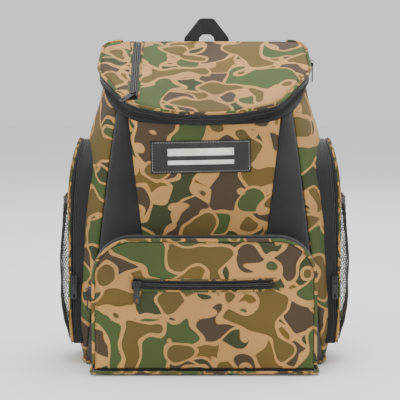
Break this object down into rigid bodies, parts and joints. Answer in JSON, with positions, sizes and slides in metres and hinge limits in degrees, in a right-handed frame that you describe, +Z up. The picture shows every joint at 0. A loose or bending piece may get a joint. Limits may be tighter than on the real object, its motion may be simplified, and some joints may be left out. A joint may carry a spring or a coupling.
{
  "type": "tackle backpack",
  "caption": "Soft tackle backpack with a sloping zip-round lid, a fold-down front pocket, zipped side pockets with mesh pouches, a haul handle and padded shoulder straps.",
  "frame": {"origin": "on the ground under the middle of the base, in line with the middle of the shell", "axes": "+Z up, the front pocket faces -Y, the wearer's back is at +Y, and +X is towards the wearer's right"},
  "size_m": [0.408, 0.2584, 0.4825],
  "materials": {
    "camo_fabric": "woven polyester printed with large camouflage blobs",
    "black_fabric": "matt woven polyester",
    "black_webbing": "woven nylon webbing",
    "lining": "smooth coated lining cloth",
    "zip": "nylon coil on woven tape",
    "zip_metal": "black enamelled zinc",
    "camo_piping": "bound camouflage piping",
    "patch": "moulded soft rubber with a stitched border",
    "mesh": "open diamond mesh",
    "buckle": "moulded acetal",
    "board": "stiff board",
    "padding": "air mesh over foam"
  },
  "bodies": {
    "pack": {"front_panel": "camo_fabric", "accent_panel_left": "black_fabric", "accent_panel_right": "black_fabric", "side_panel_left": "camo_fabric", "side_panel_right": "camo_fabric", "back_panel": "black_fabric", "bottom_panel": "black_fabric", "main_lining": "lining", "base_board": "board", "rim_band": "black_fabric", "base_piping": "camo_piping", "label_patch": "patch", "front_pocket_gusset": "black_fabric", "side_pocket_gussets": "black_fabric", "harness_yoke": "black_fabric", "back_pads": "padding", "anchor_tabs": "black_fabric", "strap_web_left": "black_webbing", "strap_web_right": "black_webbing"},
    "lid": {"lid_panel": "camo_fabric", "lid_pocket_zip": "zip", "lid_skirt": "black_fabric", "lid_zip_coil": "zip", "lid_padding": "padding", "lid_piping": "camo_piping"},
    "front_door": {"front_door_gusset": "black_fabric", "front_zip_coil": "zip", "front_pocket_panel": "camo_fabric", "front_pocket_piping": "camo_piping", "panel_zip": "zip"},
    "side_door_right": {"side_zip_coil_right": "zip", "side_door_gusset_right": "black_fabric", "side_door_panel_right": "camo_fabric", "side_door_piping_right": "camo_piping", "mesh_pocket_right": "mesh", "mesh_hem_right": "black_webbing"},
    "strap_right": {"shoulder_pad_right": "padding", "ladder_lock_right": "buckle"},
    "side_door_left": {"side_zip_coil_left": "zip", "side_door_gusset_left": "black_fabric", "side_door_panel_left": "camo_fabric", "side_door_piping_left": "camo_piping", "mesh_pocket_left": "mesh", "mesh_hem_left": "black_webbing"},
    "strap_left": {"shoulder_pad_left": "padding", "ladder_lock_left": "buckle"},
    "handle": {"haul_handle": "black_webbing"},
    "lid_pocket_slider": {"lid_pocket_slider": "zip_metal"},
    "lid_pocket_pull": {"lid_pocket_pull": "zip_metal"},
    "lid_zip_slider": {"lid_zip_slider": "zip_metal"},
    "lid_zip_pull": {"lid_zip_pull": "zip_metal"},
    "panel_zip_slider": {"panel_zip_slider": "zip_metal"},
    "panel_zip_pull": {"panel_zip_pull": "zip_metal"},
    "front_zip_slider": {"front_zip_slider": "zip_metal"},
    "front_zip_pull": {"front_zip_pull": "zip_metal"},
    "side_zip_right_slider": {"side_zip_right_slider": "zip_metal"},
    "side_zip_right_pull": {"side_zip_right_pull": "zip_metal"},
    "side_zip_left_slider": {"side_zip_left_slider": "zip_metal"},
    "side_zip_left_pull": {"side_zip_left_pull": "zip_metal"}
  },
  "joints": [
    {"name": "lid_hinge", "type": "hinge", "parent": "pack", "child": "lid", "pos_m": [0, 0.0805, 0.45], "axis": [-1, 0, 0], "range_deg": [0, 118]},
    {"name": "front_door_hinge", "type": "hinge", "parent": "pack", "child": "front_door", "pos_m": [0, -0.122, 0.0085], "axis": [1, 0, 0], "range_deg": [0, 85]},
    {"name": "side_door_right_hinge", "type": "hinge", "parent": "pack", "child": "side_door_right", "pos_m": [0.185, 0.002, 0.0305], "axis": [0, 1, 0], "range_deg": [0, 75]},
    {"name": "side_door_left_hinge", "type": "hinge", "parent": "pack", "child": "side_door_left", "pos_m": [-0.185, 0.002, 0.0305], "axis": [0, -1, 0], "range_deg": [0, 75]},
    {"name": "handle_fold", "type": "hinge", "parent": "pack", "child": "handle", "pos_m": [0.003, 0.0891, 0.448], "axis": [-1, 0, 0], "range_deg": [0, 100]},
    {"name": "strap_right_swing", "type": "hinge", "parent": "pack", "child": "strap_right", "pos_m": [0.055, 0.094, 0.42], "axis": [1, 0, 0], "range_deg": [0, 18], "deforming": ["strap_web_right"]},
    {"name": "strap_left_swing", "type": "hinge", "parent": "pack", "child": "strap_left", "pos_m": [-0.055, 0.094, 0.42], "axis": [1, 0, 0], "range_deg": [0, 18], "deforming": ["strap_web_left"]},
    {"name": "lid_pocket_slide", "type": "slide", "parent": "lid", "child": "lid_pocket_slider", "axis": [0, 0.8746, 0.4848], "range_m": [0, 0.134]},
    {"name": "lid_pocket_pull_turn", "type": "hinge", "parent": "lid_pocket_slider", "child": "lid_pocket_pull", "pos_m": [-0.097, -0.05725, 0.37879], "axis": [-0.788, 0.5385, 0.2985], "range_deg": [0, 130]},
    {"name": "lid_zip_slide", "type": "slide", "parent": "pack", "child": "lid_zip_slider", "axis": [0, -0.8746, -0.4848], "range_m": [-0.022, 0.028]},
    {"name": "lid_zip_pull_turn", "type": "hinge", "parent": "lid_zip_slider", "child": "lid_zip_pull", "pos_m": [0.1536, 0.04104, 0.41806], "axis": [0, -1, 0], "range_deg": [0, 130]},
    {"name": "panel_zip_slide", "type": "slide", "parent": "front_door", "child": "panel_zip_slider", "axis": [1, 0, 0], "range_m": [0, 0.178]},
    {"name": "panel_zip_pull_turn", "type": "hinge", "parent": "panel_zip_slider", "child": "panel_zip_pull", "pos_m": [-0.091, -0.1285, 0.125], "axis": [-1, 0, 0], "range_deg": [0, 130]},
    {"name": "front_zip_slide", "type": "slide", "parent": "pack", "child": "front_zip_slider", "axis": [0, 0, -1], "range_m": [-0.013, 0.07]},
    {"name": "front_zip_pull_turn", "type": "hinge", "parent": "front_zip_slider", "child": "front_zip_pull", "pos_m": [-0.1591, -0.1032, 0.112], "axis": [0, 1, 0], "range_deg": [0, 130]},
    {"name": "side_zip_right_slide", "type": "slide", "parent": "pack", "child": "side_zip_right_slider", "axis": [0, 0, -1], "range_m": [-0.075, 0.055]},
    {"name": "side_zip_right_pull_turn", "type": "hinge", "parent": "side_zip_right_slider", "child": "side_zip_right_pull", "pos_m": [0.1812, -0.0547, 0.12], "axis": [-1, 0, 0], "range_deg": [0, 130]},
    {"name": "side_zip_left_slide", "type": "slide", "parent": "pack", "child": "side_zip_left_slider", "axis": [0, 0, -1], "range_m": [-0.075, 0.055]},
    {"name": "side_zip_left_pull_turn", "type": "hinge", "parent": "side_zip_left_slider", "child": "side_zip_left_pull", "pos_m": [-0.1812, -0.0547, 0.12], "axis": [-1, 0, 0], "range_deg": [0, 130]}
  ]
}
